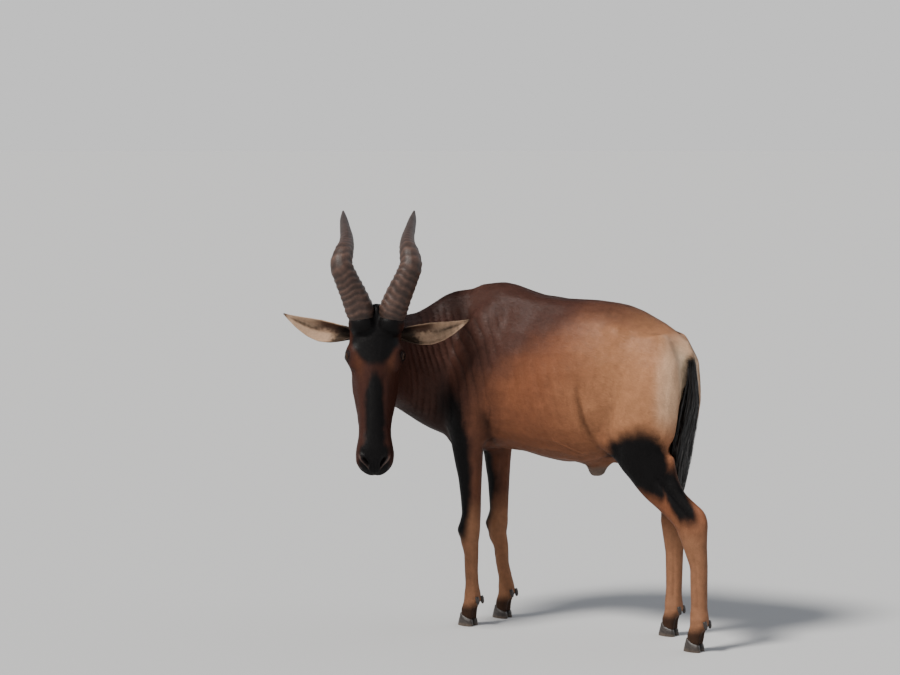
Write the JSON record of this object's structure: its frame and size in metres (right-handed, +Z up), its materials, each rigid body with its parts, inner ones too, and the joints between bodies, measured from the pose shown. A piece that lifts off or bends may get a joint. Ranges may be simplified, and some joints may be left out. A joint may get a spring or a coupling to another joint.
{
  "type": "red hartebeest antelope, standing life-size animal model",
  "caption": "Life-size still model of a standing horned antelope with sloping back, long narrow face and ringed, bent horns, head turned to its left, on its own flat hooves.",
  "frame": {"origin": "on the ground plane, under the middle of the whole animal's bounding box", "axes": "+Z up, the trunk along X with the tail towards +X and the chest towards -X, the animal's left side towards -Y and its head turned towards -Y"},
  "size_m": [1.4704, 0.7626, 1.5098],
  "materials": {
    "coat": "short flat glossy red-brown hair with black markings and a paler rump",
    "tail_hair": "long coarse black hair",
    "horn": "ringed grey-brown horn, smoother and darker at the tips",
    "hoof": "dark horn, slightly worn at the edge",
    "eye": "wet, dark brown and glossy"
  },
  "bodies": {
    "root": {"dewclaw_fore_left_inner": "hoof", "dewclaw_fore_left_outer": "hoof", "dewclaw_fore_right_inner": "hoof", "dewclaw_fore_right_outer": "hoof", "dewclaw_hind_left_inner": "hoof", "dewclaw_hind_left_outer": "hoof", "dewclaw_hind_right_inner": "hoof", "dewclaw_hind_right_outer": "hoof", "ear_left": "coat", "ear_right": "coat", "eye_left": "eye", "eye_right": "eye", "fore_cannon_left": "coat", "fore_cannon_right": "coat", "foreleg_left": "coat", "foreleg_right": "coat", "head": "coat", "hind_cannon_left": "coat", "hind_cannon_right": "coat", "hindleg_left": "coat", "hindleg_right": "coat", "hoof_fore_left_inner": "hoof", "hoof_fore_left_outer": "hoof", "hoof_fore_right_inner": "hoof", "hoof_fore_right_outer": "hoof", "hoof_hind_left_inner": "hoof", "hoof_hind_left_outer": "hoof", "hoof_hind_right_inner": "hoof", "hoof_hind_right_outer": "hoof", "horn_left": "horn", "horn_right": "horn", "neck": "coat", "tail_dock": "coat", "tail_tuft": "tail_hair", "trunk": "coat"}
  },
  "joints": []
}
